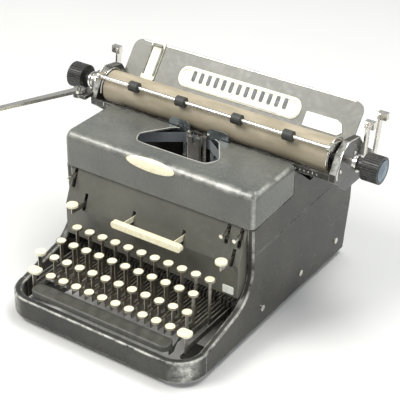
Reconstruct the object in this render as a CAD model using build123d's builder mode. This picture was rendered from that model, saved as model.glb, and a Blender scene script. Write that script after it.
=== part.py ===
"""Wide-carriage desk typewriter, built as separate pieces.

Frame: +X to the typist's right, +Y to the rear, +Z up, origin on the table at the middle of the
body's footprint. Millimetres.
"""

from build123d import *
import math
import os

# Body
body_width = 271
body_depth = 370
corner_radius = 37
side_wall = 10
foot_height = 8
foot_diameter = 22
apron_height = 35
rim_angle = 14
sweep_radius = 45
sweep_y = -53
deck_height = 157
rim_round = 3.5
rear_lean = 12
rear_bend = 37
rear_inset = 1
groove_front_height = 113.5
groove_rise = 9
groove_width = 1.5
groove_depth = 1

# Top cover
cover_height = 195.5
cover_front_y = -57
cover_back_y = 31
cover_sheet = 2.5
cover_round = 12
seam_front_height = 149
seam_gap = 1.4
shoulder_back_y = 70
shoulder_drop = 8.5
opening_front_y = -27
opening_back_half = 31
opening_wide_half = 58
opening_wide_y = -9
opening_front_half = 50
opening_corner = 9
badge_x = -7.5
badge_half_length = 34
badge_half_height = 7.5
badge_tilt = 22
badge_sheet = 1.2

# Front plate behind the keys
plate_sheet = 2.5
plate_top_y = -51
plate_top_height = 152
plate_foot_y = -70
plate_bend_height = 105
plate_low = 62
slot_height = 135
slot_length = 24
slot_width = 5.5
arm_slot_width = 5
arm_slot_length = 22

# Keyboard
key_pitch = 19.05
lever_pitch = key_pitch / 4
lever_sheet = 1.2
lever_low = 38
lever_high = 46
keytop_diameter = 13.5
keytop_thickness = 3.2
fulcrum_y = 90
fulcrum_z = 42
fulcrum_diameter = 5
pivot_clearance = 0.05
lever_tail = 8
row_pitch_y = 19.05
front_row_y = -161.4
front_row_height = 66.3
row_rise = 12.15
front_row_first_x = -76.1
space_bar_length = 199
space_bar_x = -1.5
space_bar_depth = 20
space_bar_thickness = 7.5
space_bar_y = -164
space_bar_top = 43.5

# Upper cross rod, on which the tab bar, side keys and slot levers turn
rod_y = -35
rod_z = 109
rod_diameter = 4
side_key_diameter = 14.5

# Type basket
print_y = 38
type_pivot_radius = 32
type_head_radius = 88
type_pivot_height = 147.5
type_head_height = 182.4
type_fan = 100
type_bar_count = 43
type_bar_sheet = 0.8
type_slot_clearance = 0.1

# Ribbon
spool_x = 97
spool_y = 0
spool_diameter = 50
spool_thickness = 13
cup_clearance = 2
cup_sheet = 1.5
cup_floor_height = 164
ribbon_width = 13
ribbon_low = 178
ribbon_y = 31.5

# Carriage
carriage_x = 10
carriage_length = 352
end_plate = 8
rail_height = 6
rail_clearance = 0.3
front_rail_y = 79
rear_rail_y = 114
rail_depth = 8
bed_sheet = 5
bed_front_y = 72
bed_back_y = 122
platen_radius = 20.5
platen_y = 59.4
platen_z = 206
platen_end_gap = 8
platen_shaft_diameter = 8
knob_diameter = 33
knob_width = 21
knob_reach = 25
table_low = (88, 208)
table_high = (120, 250)
table_sheet = 2.5
table_end_gap = 2
bail_y = 39
bail_z = 226
bail_pivot_y = 82
bail_pivot_z = 214
bail_rod_diameter = 5
bail_roller_diameter = 13
bail_arm_sheet = 3
strip_y = 34.5
strip_sheet = 3
strip_low = 186
strip_high = 194
return_lever_length = 125
return_lever_angle = -115.5
return_lever_z = 205
return_hub_diameter = 16
return_pivot_y = 26

# Derived places
half_width = body_width / 2
inner_x = half_width - side_wall
front_y = -body_depth / 2
rear_y = body_depth / 2
apron_end_y = front_y + corner_radius
carriage_half = carriage_length / 2
end_inner = carriage_half - end_plate
platen_half = end_inner - platen_end_gap
rail_top = deck_height + rail_height
bed_low = rail_top + rail_clearance
table_angle = math.degrees(math.atan2(table_high[1] - table_low[1], table_high[0] - table_low[0]))
rim_end_y = sweep_y - sweep_radius * (1 - math.sin(math.radians(rim_angle)))
rim_end_z = apron_height + (rim_end_y - apron_end_y) * math.tan(math.radians(rim_angle))
sweep_z = rim_end_z + sweep_radius * math.cos(math.radians(rim_angle))
space_arm_x = front_row_first_x + 9 * key_pitch + lever_pitch / 2

key_rows = {
    "front_row": (0, 0, 10),
    "home_row": (1, -2, 11),
    "upper_row": (2, -3, 11),
    "number_row": (3, -1, 11),
}


def save(piece, name):
    """Label one finished piece and write it to its own file."""
    piece.label = name
    os.makedirs("parts", exist_ok=True)
    export_step(piece, os.path.join("parts", name + ".step"))


def sweep_point(angle):
    """Point (y, z) of the side frame's front curve at an angle below the horizontal."""
    turn = math.radians(angle)
    return (
        sweep_y - sweep_radius * (1 - math.cos(turn)),
        sweep_z - sweep_radius * math.sin(turn),
    )


def seam_height(y):
    """Height of the seam between side frame and top cover."""
    share = (y - cover_front_y) / (shoulder_back_y - cover_front_y)
    return seam_front_height + share * (deck_height - seam_front_height)


def row_keys(row):
    """Keytop centres (x, y, top z) of one row."""
    step, stagger, count = key_rows[row]
    first = front_row_first_x + stagger * lever_pitch
    y = front_row_y + step * row_pitch_y
    top = front_row_height + step * row_rise
    return [(first + i * key_pitch, y, top) for i in range(count)]


# ---------------------------------------------------------------- body

def side_frame(side):
    """Cast side frame: low rim at the front, a sweep up to the cover, flat deck behind."""
    outer = side * half_width
    with BuildPart() as frame:
        with BuildSketch(Plane.YZ.offset(outer)):
            with BuildLine():
                Polyline(
                    (apron_end_y, apron_height),
                    (apron_end_y, foot_height),
                    (rear_y - rear_lean, foot_height),
                    (rear_y - rear_inset, deck_height / 2),
                    (rear_y - rear_inset, deck_height - rear_bend - rear_inset),
                )
                ThreePointArc(
                    (rear_y - rear_inset, deck_height - rear_bend - rear_inset),
                    (rear_y - rear_lean, deck_height - rear_lean),
                    (rear_y - rear_bend, deck_height),
                )
                Polyline(
                    (rear_y - rear_bend, deck_height),
                    (shoulder_back_y, deck_height),
                    (cover_back_y + seam_gap, cover_height - shoulder_drop),
                    (cover_back_y + seam_gap, seam_height(cover_back_y)),
                    (cover_front_y + 1.5, seam_front_height),
                    sweep_point(0),
                )
                ThreePointArc(
                    sweep_point(0),
                    sweep_point((90 - rim_angle) / 2),
                    sweep_point(90 - rim_angle),
                )
                Line(sweep_point(90 - rim_angle), (apron_end_y, apron_height))
            make_face()
        extrude(amount=-side * side_wall)
        rim = (
            frame.edges()
            .filter_by(lambda e: e.center().Y > apron_end_y + 1)
            .filter_by(lambda e: e.center().Y < cover_front_y + 10)
            .filter_by(lambda e: e.center().Z > foot_height + 1)
            .filter_by(lambda e: abs(abs(e.center().X) - (half_width - side_wall / 2)) > 1)
        )
        fillet(rim, rim_round)
        with BuildSketch(Plane.YZ.offset(outer)):
            with BuildLine():
                Polyline(
                    (sweep_y + 6, groove_front_height),
                    (rear_y - 20, groove_front_height + groove_rise),
                    (rear_y - 20, groove_front_height + groove_rise + groove_width),
                    (sweep_y + 6, groove_front_height + groove_width),
                    close=True,
                )
            make_face()
        extrude(amount=-side * groove_depth, mode=Mode.SUBTRACT)
    return frame.part


save(side_frame(-1), "left_side_frame")
save(side_frame(1), "right_side_frame")

with BuildPart() as front_apron:
    with BuildSketch(Plane.XY.offset(foot_height)):
        RectangleRounded(body_width, body_depth, corner_radius)
        RectangleRounded(
            body_width - 2 * side_wall,
            body_depth - 2 * side_wall,
            corner_radius - side_wall,
            mode=Mode.SUBTRACT,
        )
        with Locations((0, apron_end_y + body_depth / 2)):
            Rectangle(body_width + 2, body_depth, mode=Mode.SUBTRACT)
    extrude(amount=apron_height - foot_height)
    top_face = front_apron.faces().sort_by(Axis.Z)[-1]
    fillet(top_face.edges().filter_by(lambda e: e.center().Y < apron_end_y - 0.5), rim_round)
save(front_apron.part, "front_apron")

slot_xs = (-120, 102, 119.5)
side_key_xs = (-98, 115.5)
tab_bar_left = -40
tab_bar_right = 60
tab_arm_xs = (tab_bar_left + 14, tab_bar_right - 14)
tab_bar_z = 115

with BuildPart() as front_plate:
    with BuildSketch(Plane.YZ.offset(-inner_x)):
        with BuildLine():
            Polyline(
                (plate_top_y, plate_top_height),
                (plate_foot_y, plate_bend_height),
                (plate_foot_y, plate_low),
                (plate_foot_y + plate_sheet, plate_low),
                (plate_foot_y + plate_sheet, plate_bend_height - 0.5),
                (plate_top_y + plate_sheet, plate_top_height - 0.5),
                (plate_top_y + plate_sheet, plate_top_height),
                close=True,
            )
        make_face()
    extrude(amount=2 * inner_x)
    for start in (-inner_x, inner_x - plate_sheet):
        with BuildSketch(Plane.YZ.offset(start)):
            with BuildLine():
                Polyline(
                    (plate_top_y + 1, plate_top_height - 1),
                    (plate_foot_y, plate_bend_height),
                    (plate_foot_y, plate_low),
                    (sweep_y, plate_low),
                    (sweep_y + 4, plate_bend_height),
                    (sweep_y + 4, plate_top_height - 1),
                    close=True,
                )
            make_face()
        extrude(amount=plate_sheet)
    for x in slot_xs:
        with BuildSketch(Plane.XZ.offset(-cover_front_y)):
            with Locations((x, slot_height)):
                SlotOverall(slot_length, slot_width, rotation=90)
        extrude(amount=30, both=True, mode=Mode.SUBTRACT)
    for x in tab_arm_xs + side_key_xs:
        with BuildSketch(Plane.XZ.offset(-plate_foot_y)):
            with Locations((x, tab_bar_z - 3)):
                Rectangle(arm_slot_width, arm_slot_length)
        extrude(amount=20, both=True, mode=Mode.SUBTRACT)
save(front_plate.part, "front_plate")

rear_panel_y = rear_y - 7
panel_low = 20
panel_high = 150
with BuildPart() as rear_panel:
    with Locations((0, rear_panel_y, (panel_low + panel_high) / 2)):
        Box(2 * inner_x, 3, panel_high - panel_low)
    for z in (50, 65, 80, 95, 110):
        with BuildSketch(Plane.XZ.offset(-rear_panel_y)):
            with Locations((0, z)):
                SlotOverall(150, 5)
        extrude(amount=3, both=True, mode=Mode.SUBTRACT)
save(rear_panel.part, "rear_panel")

foot_inset = 18
bracket_side = 30
bracket_sheet = 4
bar_side = 12
drive_bar_y = 150
drive_bar_top = 136
foot_xs = (-inner_x + foot_inset, inner_x - foot_inset)
foot_ys = (front_y + 58, rear_y - 32)
drum_radius = 25
drum_place = (-90, drive_bar_y - 3)
drum_low = drive_bar_top + 2
wheel_radius = 17
wheel_teeth = 24
wheel_y = drive_bar_y - 16
wheel_z = drive_bar_top - bar_side / 2
with BuildPart() as base_ties:
    for y in (-40, foot_ys[1]):
        with Locations((0, y, foot_height + bar_side / 2)):
            Box(2 * inner_x, bar_side, bar_side)
    with Locations((0, drive_bar_y, drive_bar_top - bar_side / 2)):
        Box(2 * inner_x, bar_side, bar_side)
    for side in (-1, 1):
        for y in foot_ys:
            with Locations((side * (inner_x - bracket_side / 2), y, foot_height + bracket_sheet / 2)):
                Box(bracket_side, bracket_side, bracket_sheet)
    with Locations((drum_place[0], drum_place[1], drive_bar_top + 9)):
        Cylinder(3, 18)
    with Locations((drum_place[0], drum_place[1], drive_bar_top + 1)):
        Cylinder(8, 2)
    with Locations(Location((0, drive_bar_y - bar_side / 2 - 9, wheel_z), (90, 0, 0))):
        Cylinder(2.5, 18)
save(base_ties.part, "base_ties")

with BuildPart() as rubber_feet:
    for x in foot_xs:
        for y in foot_ys:
            with Locations((x, y, foot_height / 2)):
                Cylinder(foot_diameter / 2, foot_height)
    fillet(rubber_feet.faces().group_by(Axis.Z)[0].edges(), 1.5)
save(rubber_feet.part, "rubber_feet")

# ---------------------------------------------------------------- top cover

with BuildPart() as top_cover:
    with BuildSketch(Plane.YZ.offset(-half_width)):
        with BuildLine():
            Polyline(
                (cover_front_y, seam_height(cover_front_y) + seam_gap),
                (cover_back_y, seam_height(cover_back_y) + seam_gap),
                (cover_back_y, cover_height),
                (cover_front_y, cover_height),
                close=True,
            )
        make_face()
    extrude(amount=body_width)
    fillet(
        top_cover.edges().filter_by(Axis.X).group_by(Axis.Z)[-1].sort_by(Axis.Y)[0],
        cover_round,
    )
    fillet(
        top_cover.edges()
        .filter_by(lambda e: abs(abs(e.center().X) - half_width) < 0.5)
        .filter_by(lambda e: e.center().Z > seam_front_height + 12)
        .filter_by(lambda e: e.center().Y < cover_back_y - 1),
        7,
    )
    offset(
        amount=-cover_sheet,
        openings=top_cover.faces().filter_by(
            lambda f: f.center().Z < seam_front_height + 12 or f.center().Y > cover_back_y - 0.5
        ),
    )
    with BuildSketch(Plane.XY.offset(cover_height)):
        with BuildLine():
            Polyline(
                (-opening_back_half, cover_back_y + 10),
                (-opening_back_half, cover_back_y),
                (-opening_wide_half, opening_wide_y),
                (-opening_front_half, opening_front_y),
                (opening_front_half, opening_front_y),
                (opening_wide_half, opening_wide_y),
                (opening_back_half, cover_back_y),
                (opening_back_half, cover_back_y + 10),
                close=True,
            )
        opening_outline = make_face()
        fillet(opening_outline.vertices().filter_by(lambda v: v.Y < 0), opening_corner)
    extrude(amount=-cover_sheet * 2, mode=Mode.SUBTRACT)
save(top_cover.part, "top_cover")

badge_center = (cover_front_y + cover_round, cover_height - cover_round)
badge_outer = cover_round + badge_sheet
badge_tail = 12
with BuildPart() as cover_badge:
    with BuildSketch(Plane.YZ.offset(badge_x - badge_half_length - 1)):
        with Locations(badge_center):
            Circle(badge_outer)
        with Locations((badge_center[0] - badge_outer / 2, badge_center[1] - badge_tail / 2)):
            Rectangle(badge_outer, badge_tail)
        with Locations(badge_center):
            Circle(cover_round, mode=Mode.SUBTRACT)
        with Locations((badge_center[0] - cover_round / 2, badge_center[1] - badge_tail / 2)):
            Rectangle(cover_round, badge_tail, mode=Mode.SUBTRACT)
    extrude(amount=2 * badge_half_length + 2)
    badge_plane = Plane(
        origin=(badge_x, *badge_center),
        x_dir=(1, 0, 0),
        z_dir=(0, -math.cos(math.radians(badge_tilt)), math.sin(math.radians(badge_tilt))),
    )
    with BuildSketch(badge_plane.offset(cover_round / 2)):
        Ellipse(badge_half_length, badge_half_height)
    extrude(amount=badge_outer, mode=Mode.INTERSECT)
save(cover_badge.part, "cover_badge")

# ---------------------------------------------------------------- keyboard

with BuildPart() as pivot_shafts:
    for y, z, diameter in (
        (fulcrum_y, fulcrum_z, fulcrum_diameter),
        (rod_y, rod_z, rod_diameter),
    ):
        with Locations(Location((0, y, z), (0, 90, 0))):
            Cylinder(diameter / 2, 2 * inner_x)
save(pivot_shafts.part, "pivot_shafts")

stem_depth = 5
gooseneck = 15
foot_thickness = 2.5


def lever_profile(stem_y, top, reach):
    """Outline points of a lever from its tail to the underside of its keytop."""
    return (
        (fulcrum_y + lever_tail, lever_low),
        (stem_y, lever_low),
        (stem_y, top - foot_thickness),
        (stem_y - reach, top - foot_thickness),
        (stem_y - reach, top),
        (stem_y + stem_depth, top),
        (stem_y + stem_depth, lever_high),
        (fulcrum_y + lever_tail, lever_high),
    )


def row_levers(row):
    """All levers of one row, hung on the fulcrum shaft."""
    with BuildPart() as levers:
        for x, y, top in row_keys(row):
            stem_y = y + (gooseneck if row == "front_row" else -stem_depth / 2)
            reach = gooseneck + stem_depth / 2 if row == "front_row" else 0.0
            points = lever_profile(stem_y, top - keytop_thickness, reach)
            if reach == 0.0:
                points = [p for i, p in enumerate(points) if i not in (2, 3)]
            with BuildSketch(Plane.YZ.offset(x - lever_sheet / 2)):
                with BuildLine():
                    Polyline(*points, close=True)
                make_face()
                with Locations((fulcrum_y, fulcrum_z)):
                    Circle(fulcrum_diameter / 2 + pivot_clearance, mode=Mode.SUBTRACT)
            extrude(amount=lever_sheet)
    return levers.part


def row_keytops(row):
    """All round keytops of one row."""
    with BuildPart() as tops:
        for x, y, top in row_keys(row):
            with Locations((x, y, top - keytop_thickness / 2)):
                Cylinder(keytop_diameter / 2, keytop_thickness)
        fillet(tops.faces().group_by(Axis.Z)[-1].edges(), 0.8)
    return tops.part


for row_name in key_rows:
    save(row_levers(row_name), row_name + "_levers")
    save(row_keytops(row_name), row_name + "_keytops")

left_shift_x = -103
right_shift_x = 116
lock_x = -109
comb_y = -68
comb_slot = lever_sheet + 1.2
with BuildPart() as key_comb:
    with Locations((0, comb_y, 36)):
        Box(2 * inner_x, 5, 32)
    comb_xs = [x for row in key_rows for x, _, _ in row_keys(row)]
    comb_xs += [-space_arm_x, space_arm_x, left_shift_x, right_shift_x, lock_x]
    for x in comb_xs:
        with Locations((x, comb_y, 42)):
            Box(comb_slot, 6, 34, mode=Mode.SUBTRACT)
save(key_comb.part, "key_comb")

arm_high = space_bar_top - space_bar_thickness
with BuildPart() as space_bar:
    with Locations((space_bar_x, space_bar_y, space_bar_top - space_bar_thickness / 2)):
        Box(space_bar_length, space_bar_depth, space_bar_thickness)
    fillet(space_bar.edges().filter_by(Axis.Z), space_bar_depth / 2 - 1)
    fillet(space_bar.faces().sort_by(Axis.Z)[-1].edges(), 2)
    for x in (-space_arm_x, space_arm_x):
        with BuildSketch(Plane.YZ.offset(x - lever_sheet / 2)):
            with BuildLine():
                Polyline(
                    (fulcrum_y + lever_tail, lever_low),
                    (space_bar_y + 12, lever_low),
                    (space_bar_y + 6, arm_high - 6),
                    (space_bar_y - 3, arm_high - 6),
                    (space_bar_y - 3, arm_high + 1),
                    (space_bar_y + 5, arm_high + 1),
                    (space_bar_y + 16, lever_high - 2),
                    (fulcrum_y + lever_tail, lever_high),
                    close=True,
                )
            make_face()
            with Locations((fulcrum_y, fulcrum_z)):
                Circle(fulcrum_diameter / 2 + pivot_clearance, mode=Mode.SUBTRACT)
        extrude(amount=lever_sheet)
save(space_bar.part, "space_bar")


shift_low = 62
shift_y = front_row_y + 1


def shift_key(x, key_x):
    """Shift key: oblong cap on a bent lever hung on the fulcrum shaft."""
    with BuildPart() as key:
        with BuildSketch(Plane.YZ.offset(x - lever_sheet / 2)):
            with BuildLine():
                Polyline(
                    (fulcrum_y + lever_tail, lever_low),
                    (shift_y - 3, lever_low),
                    (shift_y - 3, shift_low),
                    (shift_y + 3, shift_low),
                    (shift_y + 3, lever_high),
                    (fulcrum_y + lever_tail, lever_high),
                    close=True,
                )
            make_face()
            with Locations((fulcrum_y, fulcrum_z)):
                Circle(fulcrum_diameter / 2 + pivot_clearance, mode=Mode.SUBTRACT)
        extrude(amount=lever_sheet)
        with BuildSketch(Plane.XY.offset(shift_low)):
            with Locations((key_x, shift_y)):
                RectangleRounded(17, keytop_diameter, 5)
        extrude(amount=keytop_thickness)
        fillet(key.faces().sort_by(Axis.Z)[-1].edges(), 0.8)
    return key.part


save(shift_key(left_shift_x, left_shift_x + 2), "left_shift_key")
save(shift_key(right_shift_x, right_shift_x - 1.5), "right_shift_key")

lock_y = front_row_y + row_pitch_y
lock_top = front_row_height + row_rise
with BuildPart() as shift_lock_key:
    with BuildSketch(Plane.YZ.offset(lock_x - lever_sheet / 2)):
        with BuildLine():
            Polyline(
                (fulcrum_y + lever_tail, lever_low),
                (lock_y - 3, lever_low),
                (lock_y - 3, lock_top - keytop_thickness),
                (lock_y + 3, lock_top - keytop_thickness),
                (lock_y + 3, lever_high),
                (fulcrum_y + lever_tail, lever_high),
                close=True,
            )
        make_face()
        with Locations((fulcrum_y, fulcrum_z)):
            Circle(fulcrum_diameter / 2 + pivot_clearance, mode=Mode.SUBTRACT)
    extrude(amount=lever_sheet)
    with Locations((lock_x + 2, lock_y, lock_top - keytop_thickness / 2)):
        Cylinder(keytop_diameter / 2, keytop_thickness)
save(shift_lock_key.part, "shift_lock_key")

arm_front_y = -85.5
side_key_y = -91
with BuildPart() as tab_bar:
    with Locations(((tab_bar_left + tab_bar_right) / 2, arm_front_y - 3.5, tab_bar_z)):
        Box(tab_bar_right - tab_bar_left, 7, 9)
    fillet(tab_bar.edges().filter_by(Axis.Y), 4)
    fillet(tab_bar.faces().sort_by(Axis.Y)[0].edges(), 1)
    for x in tab_arm_xs:
        with BuildSketch(Plane.YZ.offset(x - lever_sheet / 2)):
            with BuildLine():
                Polyline(
                    (rod_y + 6, rod_z - 5),
                    (rod_y + 6, rod_z + 5),
                    (arm_front_y + 6, tab_bar_z + 3),
                    (arm_front_y - 1, tab_bar_z + 3),
                    (arm_front_y - 1, tab_bar_z - 3),
                    (arm_front_y + 6, tab_bar_z - 3),
                    close=True,
                )
            make_face()
            with Locations((rod_y, rod_z)):
                Circle(rod_diameter / 2 + pivot_clearance, mode=Mode.SUBTRACT)
        extrude(amount=lever_sheet)
save(tab_bar.part, "tab_bar")


def side_key(x):
    """Round key beside the tab bar, on an arm from the upper rod."""
    stem_y = side_key_y
    with BuildPart() as key:
        with BuildSketch(Plane.YZ.offset(x - lever_sheet / 2)):
            with BuildLine():
                Polyline(
                    (rod_y + 6, rod_z - 5),
                    (rod_y + 6, rod_z + 5),
                    (stem_y + 5, tab_bar_z),
                    (stem_y + 2, tab_bar_z + 4),
                    (stem_y - 2, tab_bar_z + 4),
                    (stem_y - 2, tab_bar_z - 6),
                    close=True,
                )
            make_face()
            with Locations((rod_y, rod_z)):
                Circle(rod_diameter / 2 + pivot_clearance, mode=Mode.SUBTRACT)
        extrude(amount=lever_sheet)
        with Locations((x, stem_y, tab_bar_z + 4 + keytop_thickness / 2)):
            Cylinder(side_key_diameter / 2, keytop_thickness)
        fillet(key.faces().sort_by(Axis.Z)[-1].edges(), 0.8)
    return key.part


save(side_key(side_key_xs[0]), "margin_release_key")
save(side_key(side_key_xs[1]), "backspace_key")


def slot_lever(x):
    """Small lever that turns on the upper rod and sticks out through a slot in the front plate."""
    tip_y = -68
    tip_z = 139
    with BuildPart() as lever:
        with BuildSketch(Plane.YZ.offset(x - lever_sheet)):
            with BuildLine():
                Polyline(
                    (rod_y + 5, rod_z - 4),
                    (rod_y + 5, rod_z + 5),
                    (tip_y + 22, tip_z + 3),
                    (tip_y, tip_z + 2),
                    (tip_y, tip_z - 2),
                    (tip_y + 20, tip_z - 4),
                    (rod_y - 5, rod_z - 4),
                    close=True,
                )
            make_face()
            with Locations((rod_y, rod_z)):
                Circle(rod_diameter / 2 + pivot_clearance, mode=Mode.SUBTRACT)
        extrude(amount=2 * lever_sheet)
        with Locations(Location((x, tip_y, tip_z), (90, 0, 0))):
            Cylinder(2.5, 8)
    return lever.part


save(slot_lever(slot_xs[0]), "ribbon_reverse_lever")
save(slot_lever(slot_xs[1]), "ribbon_colour_lever")
save(slot_lever(slot_xs[2]), "touch_control_lever")

# ---------------------------------------------------------------- type basket

type_center = (0, print_y)
type_angles = [
    -90 - type_fan / 2 + type_fan * i / (type_bar_count - 1) for i in range(type_bar_count)
]
guide_y = 24
guide_top = 192
segment_inner = type_pivot_radius - 6
segment_outer = type_pivot_radius + 6
segment_low = type_pivot_height - 9
segment_high = type_pivot_height + 3

with BuildPart() as type_segment:
    with BuildSketch(Plane.XY.offset(segment_low)):
        with Locations(type_center):
            Circle(segment_outer)
            Circle(segment_inner, mode=Mode.SUBTRACT)
        with Locations((0, print_y + segment_outer)):
            Rectangle(2 * segment_outer + 2, 2 * segment_outer, mode=Mode.SUBTRACT)
        for side in (-1, 1):
            with Locations((side * (segment_inner + 20), print_y - 5)):
                Rectangle(40, 10)
    extrude(amount=segment_high - segment_low)
    for angle in type_angles:
        slot_box = Box(
            segment_outer - segment_inner + 4,
            type_bar_sheet + 2 * type_slot_clearance,
            segment_high - segment_low,
            mode=Mode.PRIVATE,
        )
        slot_box = Pos(0, print_y, 0) * Rot(0, 0, angle) * Pos(
            type_pivot_radius + 4, 0, type_pivot_height + 2
        ) * slot_box
        add(slot_box, mode=Mode.SUBTRACT)
    with Locations((0, guide_y, (segment_high + guide_top) / 2)):
        Box(16, 4, guide_top - segment_high + 2)
    with Locations((0, guide_y, guide_top)):
        Box(5, 6, 16, mode=Mode.SUBTRACT)
    with Locations((0, guide_y, segment_high - 3)):
        Box(2 * segment_inner + 4, 4, 6)
save(type_segment.part, "type_segment")

bar_rise = type_head_height - type_pivot_height
bar_run = type_head_radius - type_pivot_radius
with BuildPart() as typebars:
    for angle in type_angles:
        bar_plane = Plane(
            origin=(0, print_y, 0),
            x_dir=(math.cos(math.radians(angle)), math.sin(math.radians(angle)), 0),
            z_dir=(math.sin(math.radians(angle)), -math.cos(math.radians(angle)), 0),
        )
        with BuildSketch(bar_plane.offset(-type_bar_sheet / 2)):
            with BuildLine():
                Polyline(
                    (type_pivot_radius - 2, type_pivot_height - 2),
                    (type_pivot_radius + 4, type_pivot_height - 2.5),
                    (type_head_radius, type_head_height - 3),
                    (type_head_radius, type_head_height + 1),
                    (type_pivot_radius - 1, type_pivot_height + 2.5),
                    close=True,
                )
            make_face()
        extrude(amount=type_bar_sheet)
        with BuildSketch(bar_plane.offset(-1.3)):
            with Locations((type_head_radius - 1, type_head_height + 1)):
                Rectangle(5, 9)
        extrude(amount=2.6)
save(typebars.part, "typebars")

vibrator_y = ribbon_y - 2.3
vibrator_low = 160
vibrator_top = ribbon_low + ribbon_width + 4
vibrator_sheet = 1.2
finger_x = 11
finger_width = 5
hook_reach = 3.4
hook_thickness = 2
bridge_height = 6
with BuildPart() as ribbon_vibrator:
    for side in (-1, 1):
        with Locations((side * finger_x, vibrator_y, (vibrator_low + vibrator_top) / 2)):
            Box(finger_width, vibrator_sheet, vibrator_top - vibrator_low)
        hook_y = vibrator_y - vibrator_sheet / 2 + hook_reach / 2
        with Locations((side * finger_x, hook_y, vibrator_top - hook_thickness / 2)):
            Box(finger_width, hook_reach, hook_thickness)
    with Locations((0, vibrator_y, vibrator_low + bridge_height / 2)):
        Box(2 * finger_x + finger_width, vibrator_sheet, bridge_height)
save(ribbon_vibrator.part, "ribbon_vibrator")

holder_sheet = 1.2
holder_y = ribbon_y + 0.4 + 0.5 + holder_sheet / 2
holder_width = 30
holder_height = 21
holder_top = 206
holder_corner = 7
holder_x = 28
holder_leg_x = 20
holder_leg_width = 5
holder_low = holder_top - holder_height
strap_thickness = 2.5
strap_z = deck_height + strap_thickness
strap_back_y = front_rail_y - rail_depth / 2
leg_low = strap_z - strap_thickness / 2
leg_top = holder_low + 4
with BuildPart() as card_holder:
    for side in (-1, 1):
        with BuildSketch(Plane.XZ.offset(-holder_y - holder_sheet / 2)):
            with Locations((side * holder_x, holder_top - holder_height / 2)):
                RectangleRounded(holder_width, holder_height, holder_corner)
            with Locations((side * holder_leg_x, (leg_low + leg_top) / 2)):
                Rectangle(holder_leg_width, leg_top - leg_low)
        extrude(amount=holder_sheet)
        with Locations((side * holder_leg_x, (holder_y + strap_back_y) / 2, strap_z)):
            Box(holder_leg_width, strap_back_y - holder_y, strap_thickness)
    with Locations((0, holder_y, holder_low + 1)):
        Box(2 * holder_x, holder_sheet, 5)
save(card_holder.part, "card_holder")

# ---------------------------------------------------------------- ribbon

cup_radius = spool_diameter / 2 + cup_clearance + cup_sheet
spindle_radius = 2.5
ribbon_exit_y = spool_y - 4


with BuildPart() as spool_cups:
    for side in (-1, 1):
        with Locations((side * spool_x, spool_y, cup_floor_height + 9)):
            Cylinder(cup_radius, 18)
        with Locations((side * spool_x, spool_y, cup_floor_height + 9 + cup_sheet)):
            Cylinder(cup_radius - cup_sheet, 18, mode=Mode.SUBTRACT)
        with Locations((side * (spool_x - cup_radius), ribbon_exit_y, cup_floor_height + 12)):
            Box(24, 16, 18, mode=Mode.SUBTRACT)
        with Locations((side * spool_x, spool_y, cup_floor_height + 5)):
            Cylinder(spindle_radius, 10)
save(spool_cups.part, "spool_cups")


def ribbon_spool(side):
    """Spool: two flanges on a hub, bored for the spindle."""
    low = cup_floor_height + cup_sheet + 1
    with BuildPart() as spool:
        with BuildSketch(Plane.XY.offset(low)):
            with Locations((side * spool_x, spool_y)):
                Circle(spool_diameter / 2)
        extrude(amount=1)
        with BuildSketch(Plane.XY.offset(low + 1)):
            with Locations((side * spool_x, spool_y)):
                Circle(spool_diameter / 2 - 5)
        extrude(amount=spool_thickness)
        with BuildSketch(Plane.XY.offset(low + 1 + spool_thickness)):
            with Locations((side * spool_x, spool_y)):
                Circle(spool_diameter / 2)
        extrude(amount=1)
        with Locations((side * spool_x, spool_y, low + 8)):
            Cylinder(spindle_radius + pivot_clearance, 40, mode=Mode.SUBTRACT)
    return spool.part


save(ribbon_spool(-1), "left_ribbon_spool")
save(ribbon_spool(1), "right_ribbon_spool")

cup_exit_x = spool_x - cup_radius - 1
with BuildPart() as inked_ribbon:
    with BuildSketch(Plane.XY.offset(ribbon_low)):
        with BuildLine():
            Polyline(
                (-cup_exit_x, ribbon_exit_y),
                (-18, ribbon_y),
                (18, ribbon_y),
                (cup_exit_x, ribbon_exit_y),
                (cup_exit_x, ribbon_exit_y + 0.4),
                (18, ribbon_y + 0.4),
                (-18, ribbon_y + 0.4),
                (-cup_exit_x, ribbon_exit_y + 0.4),
                close=True,
            )
        make_face()
    extrude(amount=ribbon_width)
save(inked_ribbon.part, "inked_ribbon")

# ---------------------------------------------------------------- carriage drive

with BuildPart() as fixed_rails:
    for y in (front_rail_y, rear_rail_y):
        with Locations((0, y, deck_height + rail_height / 2)):
            Box(body_width - 4, rail_depth, rail_height)
save(fixed_rails.part, "fixed_rails")

with BuildPart() as mainspring_drum:
    with BuildSketch(Plane.XY.offset(drum_low + 0.2)):
        with Locations(drum_place):
            Circle(drum_radius)
            Circle(3 + pivot_clearance, mode=Mode.SUBTRACT)
    extrude(amount=12)
    with BuildSketch(Plane.XY.offset(drum_low + 4)):
        with Locations(drum_place):
            Circle(drum_radius)
            Circle(drum_radius - 1.5, mode=Mode.SUBTRACT)
    extrude(amount=4, mode=Mode.SUBTRACT)
save(mainspring_drum.part, "mainspring_drum")

with BuildPart() as escapement_wheel:
    with BuildSketch(Plane.XZ.offset(-wheel_y)):
        with Locations((0, wheel_z)):
            Circle(wheel_radius)
            with PolarLocations(wheel_radius, wheel_teeth):
                Rectangle(3, 1.6, mode=Mode.SUBTRACT)
    extrude(amount=2)
    with BuildSketch(Plane.XZ.offset(-wheel_y)):
        with Locations((0, wheel_z)):
            Circle(wheel_radius / 2)
    extrude(amount=-6)
    with BuildSketch(Plane.XZ.offset(-wheel_y)):
        with Locations((0, wheel_z)):
            Circle(2.5 + pivot_clearance)
    extrude(amount=20, both=True, mode=Mode.SUBTRACT)
save(escapement_wheel.part, "escapement_wheel")

# ---------------------------------------------------------------- carriage

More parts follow.
